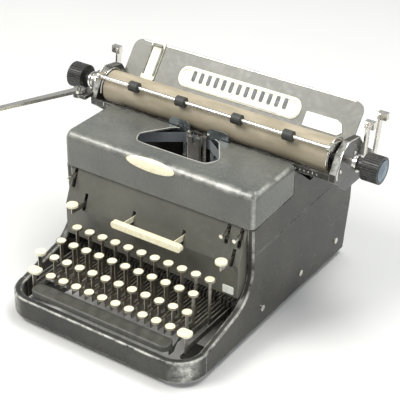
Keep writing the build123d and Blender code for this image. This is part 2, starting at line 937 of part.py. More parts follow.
with BuildPart() as carriage_bed:
    with Locations((carriage_x, (bed_front_y + bed_back_y) / 2, bed_low + bed_sheet / 2)):
        Box(2 * end_inner, bed_back_y - bed_front_y, bed_sheet)
    with Locations((carriage_x, bed_back_y - 2, bed_low + 10)):
        Box(2 * end_inner, 4, 20)
save(carriage_bed.part, "carriage_bed")


end_foot_y = shoulder_back_y - 7
lever_root_x = carriage_x - carriage_half - 12


def end_outline():
    """Points of a carriage end plate, from the front foot round over the platen."""
    return (
        (strip_y, strip_low),
        (end_foot_y, bed_low),
        (bed_back_y + 4, bed_low),
        (bed_back_y + 4, platen_z - 16),
        (table_low[0] + 12, platen_z + 2),
        (bail_pivot_y + 8, platen_z + 17),
        (platen_y + 6, platen_z + 21),
        (platen_y - 12, platen_z + 12),
        (strip_y, strip_high + 2),
    )


bail_stud_radius = 2
bail_stud_length = 7
end_corner_round = 6


def carriage_end(side):
    """End plate that carries the platen shaft and the bail pivot stud."""
    with BuildPart() as plate:
        with BuildSketch(Plane.YZ.offset(carriage_x + side * end_inner)):
            with BuildLine():
                Polyline(*end_outline(), close=True)
            make_face()
            with Locations((platen_y, platen_z)):
                Circle(platen_shaft_diameter / 2 + pivot_clearance, mode=Mode.SUBTRACT)
        extrude(amount=side * end_plate)
        fillet(plate.edges().filter_by(Axis.X).group_by(Axis.Z)[-1], end_corner_round)
        with BuildSketch(Plane.YZ.offset(carriage_x + side * end_inner)):
            with Locations((bail_pivot_y, bail_pivot_z)):
                Circle(bail_stud_radius)
        extrude(amount=-side * bail_stud_length)
        if side < 0:
            with BuildSketch(Plane.XY.offset(return_lever_z - 8)):
                with Locations((lever_root_x, return_pivot_y)):
                    Circle(return_hub_diameter / 2)
                with Locations((lever_root_x + 7, return_pivot_y + 6)):
                    Rectangle(14, 24)
            extrude(amount=5)
            with Locations((lever_root_x, return_pivot_y, return_lever_z)):
                Cylinder(2.5, 10)
    return plate.part


save(carriage_end(-1), "left_carriage_end")
save(carriage_end(1), "right_carriage_end")

with BuildPart() as carriage_front_strip:
    with Locations((carriage_x, strip_y + strip_sheet / 2, (strip_low + strip_high) / 2)):
        Box(2 * end_inner, strip_sheet, strip_high - strip_low)
save(carriage_front_strip.part, "carriage_front_strip")

with BuildPart() as platen_roller:
    with BuildSketch(Plane.YZ.offset(carriage_x - platen_half)):
        with Locations((platen_y, platen_z)):
            Circle(platen_radius)
            Circle(platen_shaft_diameter / 2, mode=Mode.SUBTRACT)
    extrude(amount=2 * platen_half)
save(platen_roller.part, "platen_roller")

with BuildPart() as platen_shaft:
    with Locations(Location((carriage_x, platen_y, platen_z), (0, 90, 0))):
        Cylinder(platen_shaft_diameter / 2, 2 * (carriage_half + knob_reach))
save(platen_shaft.part, "platen_shaft")


def platen_knob(side):
    """Ribbed turning knob, bored for the platen shaft."""
    start = carriage_x + side * (carriage_half + knob_reach)
    with BuildPart() as knob:
        with BuildSketch(Plane.YZ.offset(start)):
            with Locations((platen_y, platen_z)):
                Circle(knob_diameter / 2)
                with PolarLocations(knob_diameter / 2, 36):
                    Circle(0.8, mode=Mode.SUBTRACT)
        extrude(amount=side * knob_width)
        with BuildSketch(Plane.YZ.offset(start)):
            with Locations((platen_y, platen_z)):
                Circle(8)
                Circle(platen_shaft_diameter / 2, mode=Mode.SUBTRACT)
        extrude(amount=-side * 8)
    return knob.part


save(platen_knob(-1), "left_platen_knob")
save(platen_knob(1), "right_platen_knob")

ratchet_teeth = 33
with BuildPart() as line_ratchet:
    with BuildSketch(Plane.YZ.offset(carriage_x - carriage_half - 2)):
        with Locations((platen_y, platen_z)):
            Circle(15)
            with PolarLocations(15, ratchet_teeth):
                Rectangle(3, 1.2, mode=Mode.SUBTRACT)
            Circle(platen_shaft_diameter / 2, mode=Mode.SUBTRACT)
    extrude(amount=-5)
save(line_ratchet.part, "line_ratchet")

feed_roller_radius = 5
feed_gap = 0.3
feed_reach = platen_radius + feed_roller_radius + feed_gap
with BuildPart() as feed_rollers:
    for angle in (-115, -60):
        y = platen_y + feed_reach * math.cos(math.radians(angle))
        z = platen_z + feed_reach * math.sin(math.radians(angle))
        with BuildSketch(Plane.YZ.offset(carriage_x - end_inner)):
            with Locations((y, z)):
                Circle(2)
        extrude(amount=2 * end_inner)
        for x in (-105, -35, 35, 105):
            with BuildSketch(Plane.YZ.offset(carriage_x + x - 20)):
                with Locations((y, z)):
                    Circle(feed_roller_radius)
            extrude(amount=40)
save(feed_rollers.part, "feed_rollers")

table_length = math.dist(table_low, table_high)
table_plane = Plane(
    origin=(carriage_x, table_low[0], table_low[1]),
    x_dir=(1, 0, 0),
    z_dir=(0, -math.sin(math.radians(table_angle)), math.cos(math.radians(table_angle))),
)
table_width = 2 * (end_inner - table_end_gap)
with BuildPart() as paper_table:
    with BuildSketch(table_plane):
        with Locations((0, table_length / 2)):
            Rectangle(table_width, table_length)
    extrude(amount=-table_sheet)
    fillet(
        paper_table.edges()
        .filter_by(lambda e: abs(e.length - table_sheet) < 0.01)
        .group_by(Axis.Z)[-1],
        12,
    )
save(paper_table.part, "paper_table")

with BuildPart() as paper_side_guide:
    with BuildSketch(table_plane.offset(0.3)):
        with Locations((-129, table_length / 2 + 4)):
            RectangleRounded(20, table_length + 2, 4)
    extrude(amount=1.5)
save(paper_side_guide.part, "paper_side_guide")

bail_arm_x = platen_half + 2.5
with BuildPart() as paper_bail:
    with Locations(Location((carriage_x, bail_y, bail_z), (0, 90, 0))):
        Cylinder(bail_rod_diameter / 2, 2 * bail_arm_x)
    for side in (-1, 1):
        with BuildSketch(Plane.YZ.offset(carriage_x + side * bail_arm_x)):
            with BuildLine():
                Polyline((bail_y, bail_z), (bail_pivot_y, bail_pivot_z))
                offset(amount=5)
            make_face()
            with Locations((bail_pivot_y, bail_pivot_z)):
                Circle(2 + pivot_clearance, mode=Mode.SUBTRACT)
        extrude(amount=side * bail_arm_sheet)
save(paper_bail.part, "paper_bail")

with BuildPart() as bail_rollers:
    for x in (-110, -40, 40, 110):
        with BuildSketch(Plane.YZ.offset(carriage_x + x - 6)):
            with Locations((bail_y, bail_z)):
                Circle(bail_roller_diameter / 2)
                Circle(bail_rod_diameter / 2, mode=Mode.SUBTRACT)
        extrude(amount=12)
save(bail_rollers.part, "bail_rollers")

lever_dir = (
    math.cos(math.radians(return_lever_angle)),
    math.sin(math.radians(return_lever_angle)),
)
with BuildPart() as return_lever:
    lever_plane = Plane(
        origin=(lever_root_x, return_pivot_y, return_lever_z - 2),
        x_dir=(lever_dir[0], lever_dir[1], 0),
        z_dir=(0, 0, 1),
    )
    with BuildSketch(lever_plane):
        Circle(return_hub_diameter / 2)
        with BuildLine():
            Polyline(
                (0, -5),
                (return_lever_length, -3),
                (return_lever_length, 3),
                (0, 5),
                close=True,
            )
        make_face()
        with Locations((return_lever_length, 0)):
            Circle(4.5)
        Circle(2.5 + pivot_clearance, mode=Mode.SUBTRACT)
    extrude(amount=4)
save(return_lever.part, "return_lever")


def end_lever(side, pivot, tip, offset_x):
    """Upright hand lever on the outside of a carriage end, turning on a built-in stud hole."""
    x = carriage_x + side * (carriage_half + offset_x)
    with BuildPart() as lever:
        with BuildSketch(Plane.YZ.offset(x)):
            with BuildLine():
                Polyline(pivot, tip)
                offset(amount=4.5)
            make_face()
        extrude(amount=side * 2.5)
        with Locations((x + side * 4, tip[0], tip[1])):
            Box(12, 7, 9)
    return lever.part


release_pivot = (96, 190)
release_tip = (100, 236)
save(end_lever(-1, release_pivot, release_tip, 3), "left_carriage_release")
save(end_lever(1, release_pivot, release_tip, 3), "right_carriage_release")
save(end_lever(1, (112, 186), (122, 240), 8), "paper_release_lever")

with BuildPart() as tab_stop_rack:
    with Locations((carriage_x, bed_back_y + 2, bed_low + 26)):
        Box(2 * end_inner, 4, 12)
    for i in range(60):
        with Locations((carriage_x - end_inner + 20 + i * 5, bed_back_y + 3, bed_low + 29)):
            Box(2, 3, 8, mode=Mode.SUBTRACT)
save(tab_stop_rack.part, "tab_stop_rack")

with BuildPart() as frame_screws:
    for side in (-1, 1):
        for y, z in ((-30, 30), (60, 30), (150, 30), (150, 130)):
            with Locations(Location((side * (half_width + 0.8), y, z), (0, 90, 0))):
                Cylinder(4, 1.6)
save(frame_screws.part, "frame_screws")
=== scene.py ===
"""Wide-carriage desk typewriter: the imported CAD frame, dressed for rendering. Metres, same frame."""

import math

import bmesh
import bpy
from mathutils import Matrix, Vector


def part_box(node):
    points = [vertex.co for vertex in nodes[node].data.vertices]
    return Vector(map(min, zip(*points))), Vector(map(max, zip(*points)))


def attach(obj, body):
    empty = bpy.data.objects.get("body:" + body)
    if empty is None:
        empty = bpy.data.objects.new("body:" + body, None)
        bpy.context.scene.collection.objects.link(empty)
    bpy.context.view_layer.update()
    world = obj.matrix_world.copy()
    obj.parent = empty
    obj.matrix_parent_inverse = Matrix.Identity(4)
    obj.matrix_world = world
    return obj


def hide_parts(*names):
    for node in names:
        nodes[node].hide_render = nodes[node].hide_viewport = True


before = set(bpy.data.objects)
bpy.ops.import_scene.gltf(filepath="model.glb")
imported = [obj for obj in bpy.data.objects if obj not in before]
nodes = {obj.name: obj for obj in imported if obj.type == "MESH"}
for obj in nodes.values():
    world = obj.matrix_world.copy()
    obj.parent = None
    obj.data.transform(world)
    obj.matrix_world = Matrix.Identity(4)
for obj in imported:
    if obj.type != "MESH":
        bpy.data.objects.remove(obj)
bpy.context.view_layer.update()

MM = 0.001

# Camera: degrees, metres, and lens and sensor in millimetres
CAMERA_AZIMUTH = 33.552
CAMERA_ELEVATION = 30.858
CAMERA_ROLL = 0.899
CAMERA_DISTANCE = 1.5
CAMERA_LENS = 111.47
CAMERA_SENSOR = 36
CAMERA_TARGET = (0.02107, 0.00642, 0.12113)

# Sizes of the design that no node's box gives directly: in metres
KEY_PITCH = 19.05 * MM
SHIFT_CAP_LEVEL = 61.9 * MM
LOCK_CAP_LEVEL = 75.2 * MM
SIDE_CAP_LEVEL = 118.9 * MM

# and in millimetres, for the mesh helpers
CARRIAGE_X = 10
CARRIAGE_HALF = 176
TABLE_RISE = (32, 42)
TABLE_FOOT = (88, 208)
STRIP_FRONT_Y = 34.5
PLATE_FRONT_Y = -70
COVER_TOP_Z = 195.5


# ---------------------------------------------------------------- camera, light and floor

def make_camera():
    """Photograph's angle: from the right front and above, slightly rolled."""
    azimuth = math.radians(CAMERA_AZIMUTH)
    elevation = math.radians(CAMERA_ELEVATION)
    roll = math.radians(CAMERA_ROLL)
    back = Vector((
        math.sin(azimuth) * math.cos(elevation),
        -math.cos(azimuth) * math.cos(elevation),
        math.sin(elevation),
    ))
    right = Vector((math.cos(azimuth), math.sin(azimuth), 0))
    up = back.cross(right)
    rolled_right = right * math.cos(roll) + up * math.sin(roll)
    rolled_up = up * math.cos(roll) - right * math.sin(roll)
    data = bpy.data.cameras.new("camera")
    data.sensor_width = CAMERA_SENSOR
    data.lens = CAMERA_LENS
    camera = bpy.data.objects.new("camera", data)
    bpy.context.scene.collection.objects.link(camera)
    turn = Matrix((rolled_right, rolled_up, back)).transposed()
    place = Vector(CAMERA_TARGET) + back * CAMERA_DISTANCE
    camera.matrix_world = Matrix.Translation(place) @ turn.to_4x4()
    bpy.context.scene.camera = camera


def area_light(name, place, size, power, colour):
    """Soft rectangular lamp at place, pointed at the middle of the body."""
    data = bpy.data.lights.new(name, "AREA")
    data.shape = "RECTANGLE"
    data.size, data.size_y = size
    data.energy = power
    data.color = colour
    lamp = bpy.data.objects.new(name, data)
    bpy.context.scene.collection.objects.link(lamp)
    lamp.location = place
    lamp.rotation_mode = "QUATERNION"
    aim = Vector((0, 0, 0.1))
    lamp.rotation_quaternion = (aim - Vector(place)).to_track_quat("-Z", "Y")


def make_studio():
    """Pale floor, pale surroundings and three soft lamps."""
    world = bpy.data.worlds.new("world")
    bpy.context.scene.world = world
    world.use_nodes = True
    background = world.node_tree.nodes["Background"]
    background.inputs["Color"].default_value = (0.80, 0.82, 0.84, 1)
    background.inputs["Strength"].default_value = 0.55
    area_light("key_lamp", (-0.9, -1.0, 1.7), (0.9, 0.9), 34, (1.0, 0.98, 0.94))
    area_light("top_lamp", (0.3, 0.5, 1.9), (1.4, 0.8), 26, (1.0, 1.0, 0.97))
    area_light("side_lamp", (1.8, -0.4, 0.9), (0.8, 0.8), 9, (0.95, 0.98, 1.0))
    bpy.context.scene.view_settings.view_transform = "Standard"
    mesh = bpy.data.meshes.new("floor")
    shape = bmesh.new()
    bmesh.ops.create_grid(shape, x_segments=2, y_segments=2, size=6)
    shape.to_mesh(mesh)
    shape.free()
    floor = bpy.data.objects.new("floor", mesh)
    bpy.context.scene.collection.objects.link(floor)
    material, tree, shader = new_material("pale_floor")
    noise = add_noise(tree, 3.0, 3)
    set_colour(tree, shader, noise, (0.70, 0.70, 0.69), (0.76, 0.76, 0.75))
    shader.inputs["Roughness"].default_value = 0.75
    floor.data.materials.append(material)


# ---------------------------------------------------------------- material helpers

def new_material(name):
    """Empty node material: (material, node tree, principled shader)."""
    material = bpy.data.materials.new(name)
    material.use_nodes = True
    tree = material.node_tree
    return material, tree, tree.nodes["Principled BSDF"]


def add_noise(tree, scale, detail=4.0, stretch=(1, 1, 1), roughness=0.55):
    """Noise in object coordinates: its factor output."""
    coords = tree.nodes.new("ShaderNodeTexCoord")
    mapping = tree.nodes.new("ShaderNodeMapping")
    mapping.inputs["Scale"].default_value = stretch
    noise = tree.nodes.new("ShaderNodeTexNoise")
    noise.inputs["Scale"].default_value = scale
    noise.inputs["Detail"].default_value = detail
    noise.inputs["Roughness"].default_value = roughness
    tree.links.new(coords.outputs["Object"], mapping.inputs["Vector"])
    tree.links.new(mapping.outputs["Vector"], noise.inputs["Vector"])
    return noise.outputs["Fac"]


def remap(tree, value, low, high, to_low=0.0, to_high=1.0):
    """Value stretched from low..high to to_low..to_high, clamped."""
    node = tree.nodes.new("ShaderNodeMapRange")
    node.inputs["From Min"].default_value = low
    node.inputs["From Max"].default_value = high
    node.inputs["To Min"].default_value = to_low
    node.inputs["To Max"].default_value = to_high
    tree.links.new(value, node.inputs["Value"])
    return node.outputs["Result"]


def math_node(tree, operation, a, b):
    """One math operation on two sockets or numbers."""
    node = tree.nodes.new("ShaderNodeMath")
    node.operation = operation
    for socket, value in zip(node.inputs, (a, b)):
        if isinstance(value, (int, float)):
            socket.default_value = value
        else:
            tree.links.new(value, socket)
    return node.outputs["Value"]


def mix_colour(tree, factor, a, b):
    """Colour a where factor is 0, b where it is 1. Each is a socket or an RGB."""
    node = tree.nodes.new("ShaderNodeMix")
    node.data_type = "RGBA"
    tree.links.new(factor, node.inputs["Factor"])
    for socket, value in ((node.inputs[6], a), (node.inputs[7], b)):
        if isinstance(value, tuple):
            socket.default_value = (*value, 1)
        else:
            tree.links.new(value, socket)
    return node.outputs[2]


def set_colour(tree, shader, factor, a, b):
    """Base colour between a and b."""
    tree.links.new(mix_colour(tree, factor, a, b), shader.inputs["Base Color"])


def add_bump(tree, shader, height, distance, strength):
    """Bump of that depth in metres."""
    bump = tree.nodes.new("ShaderNodeBump")
    bump.inputs["Strength"].default_value = strength
    bump.inputs["Distance"].default_value = distance
    tree.links.new(height, bump.inputs["Height"])
    tree.links.new(bump.outputs["Normal"], shader.inputs["Normal"])


def edge_mask(tree, radius):
    """1 on edges, 0 on flats: how far a rounded normal turns from the true one."""
    bevel = tree.nodes.new("ShaderNodeBevel")
    bevel.samples = 6
    bevel.inputs["Radius"].default_value = radius
    geometry = tree.nodes.new("ShaderNodeNewGeometry")
    dot = tree.nodes.new("ShaderNodeVectorMath")
    dot.operation = "DOT_PRODUCT"
    tree.links.new(bevel.outputs["Normal"], dot.inputs[0])
    tree.links.new(geometry.outputs["Normal"], dot.inputs[1])
    turned = math_node(tree, "SUBTRACT", 1.0, dot.outputs["Value"])
    return remap(tree, turned, 0.02, 0.2)


def split_coords(tree, kind):
    """X, Y and Z sockets of one output of the texture coordinates."""
    coords = tree.nodes.new("ShaderNodeTexCoord")
    split = tree.nodes.new("ShaderNodeSeparateXYZ")
    tree.links.new(coords.outputs[kind], split.inputs["Vector"])
    return split.outputs


def rounded_mask(tree, axis=None):
    """1 where the surface faces none of X, Y and Z squarely; with an axis, where it half faces that axis."""
    outputs = split_coords(tree, "Normal")
    sizes = [math_node(tree, "ABSOLUTE", outputs[name], 0.0) for name in "XYZ"]
    if axis is not None:
        side = sizes["XYZ".index(axis)]
        rising = remap(tree, side, 0.12, 0.4)
        falling = remap(tree, side, 0.85, 0.98, 1.0, 0.0)
        return math_node(tree, "MULTIPLY", rising, falling)
    largest = math_node(tree, "MAXIMUM", sizes[0], math_node(tree, "MAXIMUM", sizes[1], sizes[2]))
    return remap(tree, largest, 0.82, 0.985, 1.0, 0.0)


def along(tree, axis, low, high, to_low=0.0, to_high=1.0):
    """Object coordinate on one axis, stretched to a range."""
    return remap(tree, split_coords(tree, "Object")[axis], low, high, to_low, to_high)


def height_above(tree, level, blend=0.2 * MM):
    """1 above a height, 0 below it."""
    return along(tree, "Z", level - blend, level + blend)


# ---------------------------------------------------------------- materials

CREAM = (0.86, 0.82, 0.62)
BARE_STEEL = (0.55, 0.53, 0.48)
# Pale colour of worn edges, also serving as painted highlight on rims
RUBBED_AND_HIGHLIGHT = (0.66, 0.66, 0.60)


def enamel(name, dark, light, gloss=0.32, amount=0.7, axis=None, highlight_ramp=None, coat=0.3):
    """Baked enamel: mottled by age and dust, scratched, and pale where it turns a corner, partly as
    worn-through paint and partly as painted highlight on rounded edges.
    """
    material, tree, shader = new_material(name)
    broad = add_noise(tree, 14, 5)
    fine = add_noise(tree, 160, 6)
    colour = mix_colour(tree, remap(tree, broad, 0.32, 0.68), dark, light)
    dust = remap(tree, fine, 0.52, 0.75, 0.0, 0.35)
    colour = mix_colour(tree, dust, colour, tuple(0.7 * c + 0.07 for c in light))
    scratches = remap(tree, add_noise(tree, 70, 3, (1, 1, 16)), 0.69, 0.73, 0.0, 0.22)
    colour = mix_colour(tree, scratches, colour, tuple(0.4 * c for c in RUBBED_AND_HIGHLIGHT))
    # Pale corners and edges: partly worn paint, partly painted highlight where rounded rims catch the light
    ragged = remap(tree, add_noise(tree, 55, 7, roughness=0.7), 0.38, 0.6)
    corners = math_node(tree, "MAXIMUM", rounded_mask(tree, axis), edge_mask(tree, 1.2 * MM))
    wear_and_highlight = math_node(tree, "MULTIPLY", corners, ragged)
    wear_and_highlight = math_node(tree, "MULTIPLY", wear_and_highlight, amount)
    # Optional ramp along one axis that scales the pale edges: painted highlight stronger towards one side
    if highlight_ramp is not None:
        wear_and_highlight = math_node(tree, "MULTIPLY", wear_and_highlight, along(tree, *highlight_ramp))
    colour = mix_colour(tree, wear_and_highlight, colour, RUBBED_AND_HIGHLIGHT)
    tree.links.new(colour, shader.inputs["Base Color"])
    rough = remap(tree, fine, 0.3, 0.75, gloss - 0.08, gloss + 0.16)
    tree.links.new(rough, shader.inputs["Roughness"])
    shader.inputs["Coat Weight"].default_value = coat
    shader.inputs["Coat Roughness"].default_value = 0.2
    shader.inputs["Specular IOR Level"].default_value = 0.35 + coat / 2
    add_bump(tree, shader, fine, 0.12 * MM, 0.35)
    return material


def metal(name, colour, roughness, tarnish=(0.20, 0.17, 0.12), amount=0.35):
    """Plain or plated metal with fine pits and some tarnish."""
    material, tree, shader = new_material(name)
    spots = remap(tree, add_noise(tree, 70, 6), 0.5, 0.8, 0.0, amount)
    set_colour(tree, shader, spots, colour, tarnish)
    pits = add_noise(tree, 300, 3)
    rough = remap(tree, pits, 0.3, 0.7, roughness - 0.06, roughness + 0.12)
    tree.links.new(rough, shader.inputs["Roughness"])
    shader.inputs["Metallic"].default_value = 1.0
    add_bump(tree, shader, pits, 0.04 * MM, 0.3)
    return material


def plastic(name, colour, shade, roughness):
    """Moulded plastic with slight mottling and handling marks."""
    material, tree, shader = new_material(name)
    set_colour(tree, shader, remap(tree, add_noise(tree, 120, 5), 0.35, 0.75), colour, shade)
    smear = add_noise(tree, 260, 4)
    rough = remap(tree, smear, 0.3, 0.7, roughness - 0.05, roughness + 0.15)
    tree.links.new(rough, shader.inputs["Roughness"])
    add_bump(tree, shader, smear, 0.03 * MM, 0.4)
    return material


def rubber(name, colour, shade):
    """Aged rubber, blotched along its length and finely dented."""
    material, tree, shader = new_material(name)
    blotch = remap(tree, add_noise(tree, 28, 6, (1, 3, 3)), 0.32, 0.7)
    colour = mix_colour(tree, blotch, colour, shade)
    dents = add_noise(tree, 700, 4)
    colour = mix_colour(tree, remap(tree, dents, 0.6, 0.8, 0, 0.3), colour, (0.10, 0.09, 0.07))
    tree.links.new(colour, shader.inputs["Base Color"])
    shader.inputs["Roughness"].default_value = 0.55
    add_bump(tree, shader, dents, 0.06 * MM, 0.5)
    return material


def cloth(name, colour, shade):
    """Inked woven ribbon."""
    material, tree, shader = new_material(name)
    coords = tree.nodes.new("ShaderNodeTexCoord")
    wave = tree.nodes.new("ShaderNodeTexWave")
    wave.bands_direction = "Z"
    wave.inputs["Scale"].default_value = 600
    wave.inputs["Distortion"].default_value = 2
    tree.links.new(coords.outputs["Object"], wave.inputs["Vector"])
    set_colour(tree, shader, wave.outputs["Fac"], colour, shade)
    shader.inputs["Roughness"].default_value = 0.85
    shader.inputs["Sheen Weight"].default_value = 0.3
    add_bump(tree, shader, wave.outputs["Fac"], 0.08 * MM, 0.6)
    return material


def two_part(name, level):
    """Bare metal below a level, cream plastic above it: a cap on its lever."""
    material, tree, shader = new_material(name)
    cap = height_above(tree, level)
    mottle = remap(tree, add_noise(tree, 150, 5), 0.35, 0.75)
    cream = mix_colour(tree, mottle, CREAM, tuple(0.82 * c for c in CREAM))
    steel = mix_colour(tree, mottle, BARE_STEEL, tuple(0.6 * c for c in BARE_STEEL))
    tree.links.new(mix_colour(tree, cap, steel, cream), shader.inputs["Base Color"])
    tree.links.new(math_node(tree, "SUBTRACT", 1.0, cap), shader.inputs["Metallic"])
    shader.inputs["Roughness"].default_value = 0.32
    add_bump(tree, shader, mottle, 0.03 * MM, 0.3)
    return material


frame_enamel = enamel("frame_enamel", (0.028, 0.027, 0.023), (0.055, 0.052, 0.044), axis="X", coat=0.08)
apron_enamel = enamel("apron_enamel", (0.022, 0.022, 0.020), (0.048, 0.048, 0.042), amount=0.9, coat=0.04)
# Cover's pale edges grow towards +X: painted highlight on the right-hand corners
cover_enamel = enamel(
    "cover_enamel", (0.082, 0.086, 0.078), (0.130, 0.133, 0.118), 0.27, amount=0.6,
    highlight_ramp=("X", -0.12, 0.12, 0.35, 1.0),
)
plate_enamel = enamel(
    "plate_enamel", (0.085, 0.085, 0.070), (0.135, 0.130, 0.105), 0.42, amount=0.3, axis="X",
)
inner_enamel = enamel("inner_enamel", (0.018, 0.018, 0.017), (0.035, 0.034, 0.031), 0.45, amount=0.2)
carriage_enamel = enamel("carriage_enamel", (0.022, 0.022, 0.020), (0.050, 0.048, 0.043), 0.3, amount=0.9)
table_enamel = enamel(
    "table_enamel", (0.095, 0.095, 0.076), (0.155, 0.152, 0.124), 0.42, amount=0.5, axis="X",
)
nickel = metal("worn_nickel", (0.80, 0.78, 0.72), 0.22)
lever_metal = metal("lever_metal", (0.50, 0.47, 0.41), 0.32, amount=0.6)
steel = metal("machine_steel", (0.36, 0.35, 0.33), 0.38)
blued_steel = metal("blued_steel", (0.42, 0.47, 0.50), 0.30, tarnish=(0.16, 0.18, 0.19))
dark_steel = metal("dark_steel", (0.12, 0.12, 0.11), 0.42)
cream_plastic = plastic("cream_plastic", CREAM, (0.74, 0.68, 0.46), 0.25)
cream_enamel = plastic("cream_enamel", (0.86, 0.84, 0.70), (0.70, 0.68, 0.52), 0.35)
black_plastic = plastic("black_plastic", (0.018, 0.018, 0.017), (0.045, 0.044, 0.040), 0.28)
space_plastic = plastic("space_plastic", (0.075, 0.077, 0.068), (0.115, 0.112, 0.095), 0.40)
platen_rubber = rubber("platen_rubber", (0.30, 0.26, 0.18), (0.44, 0.38, 0.28))
foot_rubber = rubber("foot_rubber", (0.02, 0.02, 0.02), (0.035, 0.035, 0.033))
roller_rubber = rubber("roller_rubber", (0.03, 0.03, 0.03), (0.05, 0.05, 0.045))
# Ribbon colours lifted to blue-grey: painted sheen over the near-black inked cloth
ribbon_cloth = cloth("ribbon_cloth", (0.110, 0.125, 0.140), (0.190, 0.210, 0.225))
bright_nickel = metal("bright_nickel", (0.86, 0.85, 0.80), 0.16, tarnish=(0.30, 0.27, 0.20))
# Blue-grey tint of the knob caps: painted highlight on their chrome faces
knob_cap_painted_highlight = metal("knob_cap_painted_highlight", (0.20, 0.25, 0.30), 0.25, tarnish=(0.05, 0.06, 0.07))
# Pale lip of the cover's opening: some wear, mostly painted highlight along the edge
lip_wear_and_highlight = enamel("lip_wear_and_highlight", (0.20, 0.20, 0.17), (0.42, 0.42, 0.37), 0.3, amount=0.8)
rim_metal = metal("keytop_rim", (0.30, 0.28, 0.23), 0.30, amount=0.6)
pale_enamel = plastic("pale_enamel", (0.90, 0.91, 0.84), (0.74, 0.76, 0.68), 0.30)
flute_paint = plastic("flute_paint", (0.045, 0.055, 0.065), (0.10, 0.12, 0.13), 0.35)
rolled_edge = metal("rolled_edge", (0.78, 0.77, 0.70), 0.30, tarnish=(0.22, 0.22, 0.18), amount=0.9)

FINISHES = {
    frame_enamel: ("left_side_frame", "right_side_frame"),
    apron_enamel: ("front_apron", "rear_panel"),
    cover_enamel: ("top_cover",),
    plate_enamel: ("front_plate",),
    inner_enamel: ("base_ties", "spool_cups"),
    carriage_enamel: ("left_carriage_end", "right_carriage_end", "carriage_bed",
                      "carriage_front_strip"),
    table_enamel: ("paper_table",),
    nickel: ("paper_bail", "left_carriage_release", "right_carriage_release", "paper_release_lever",
             "frame_screws", "ribbon_vibrator", "return_lever", "ribbon_reverse_lever",
             "ribbon_colour_lever", "touch_control_lever"),
    cream_enamel: ("paper_side_guide",),
    lever_metal: ("front_row_levers", "home_row_levers", "upper_row_levers", "number_row_levers"),
    blued_steel: ("card_holder",),
    steel: ("pivot_shafts", "fixed_rails", "type_segment", "typebars", "escapement_wheel",
            "platen_shaft", "line_ratchet", "tab_stop_rack", "feed_rollers",
            "left_ribbon_spool", "right_ribbon_spool"),
    dark_steel: ("key_comb", "mainspring_drum"),
    cream_plastic: ("front_row_keytops", "home_row_keytops", "upper_row_keytops",
                    "number_row_keytops", "cover_badge", "tab_bar"),
    black_plastic: ("left_platen_knob", "right_platen_knob"),
    space_plastic: ("space_bar",),
    platen_rubber: ("platen_roller",),
    roller_rubber: ("bail_rollers",),
    foot_rubber: ("rubber_feet",),
    ribbon_cloth: ("inked_ribbon",),
}


TWO_PART_LEVELS = {
    "left_shift_key": SHIFT_CAP_LEVEL,
    "right_shift_key": SHIFT_CAP_LEVEL,
    "shift_lock_key": LOCK_CAP_LEVEL,
    "margin_release_key": SIDE_CAP_LEVEL,
    "backspace_key": SIDE_CAP_LEVEL,
}


def paint(node, material):
    """Gives a CAD node one material."""
    data = nodes[node].data
    data.materials.clear()
    data.materials.append(material)


def paint_cad_nodes():
    """Every CAD node gets its finish."""
    for material, names in FINISHES.items():
        for name in names:
            paint(name, material)
    for name, level in TWO_PART_LEVELS.items():
        paint(name, two_part(name + "_finish", level))


# ---------------------------------------------------------------- mesh helpers, sizes in millimetres

def add_piece(name, shape, body, slot, *materials, bevel=0.0, smooth=True):
    """Turns a bmesh into an object with its materials, riding on a body."""
    mesh = bpy.data.meshes.new(name)
    bmesh.ops.recalc_face_normals(shape, faces=shape.faces)
    shape.to_mesh(mesh)
    shape.free()
    for material in materials:
        mesh.materials.append(material)
    if smooth:
        mesh.polygons.foreach_set("use_smooth", [True] * len(mesh.polygons))
        mesh.set_sharp_from_angle(angle=math.radians(38))
    piece = bpy.data.objects.new(name, mesh)
    bpy.context.scene.collection.objects.link(piece)
    if bevel > 0:
        rounding = piece.modifiers.new("rounding", "BEVEL")
        rounding.width = bevel * MM
        rounding.segments = 3
        rounding.limit_method = "ANGLE"
    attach(piece, body)
    return piece


def add_tube(name, points, radius, body, material, kind="POLY"):
    """Round wire through points given in metres."""
    data = bpy.data.curves.new(name, "CURVE")
    data.dimensions = "3D"
    data.bevel_depth = radius * MM
    data.bevel_resolution = 4
    data.use_fill_caps = True
    spline = data.splines.new(kind)
    spline.points.add(len(points) - 1)
    for knot, place in zip(spline.points, points):
        knot.co = (*place, 1)
    if kind == "NURBS":
        spline.order_u = 3
        spline.use_endpoint_u = True
    data.materials.append(material)
    piece = bpy.data.objects.new(name, data)
    bpy.context.scene.collection.objects.link(piece)
    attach(piece, body)


def lathe(shape, profile, center, axis, steps=40, material=0):
    """Adds a turned form: profile of (radius, height) round an axis through center, in metres."""
    axis = Vector(axis).normalized()
    side = axis.orthogonal().normalized()
    other = axis.cross(side)
    rings = []
    for radius, height in profile:
        middle = Vector(center) + axis * (height * MM)
        if radius == 0:
            rings.append([shape.verts.new(middle)])
            continue
        ring = []
        for i in range(steps):
            turn = 2 * math.pi * i / steps
            spoke = side * math.cos(turn) + other * math.sin(turn)
            ring.append(shape.verts.new(middle + spoke * (radius * MM)))
        rings.append(ring)
    for low, high in zip(rings, rings[1:]):
        for i in range(steps):
            j = (i + 1) % steps
            if len(low) == 1:
                corners = (low[0], high[i], high[j])
            elif len(high) == 1:
                corners = (low[i], low[j], high[0])
            else:
                corners = (low[i], low[j], high[j], high[i])
            shape.faces.new(corners).material_index = material


def add_ring(shape, outline, matrix, lift=0.0):
    """Adds the outline's (u, v) points at a lift along the matrix's third axis."""
    return [shape.verts.new(matrix @ (Vector((u, v, lift)) * MM)) for u, v in outline]


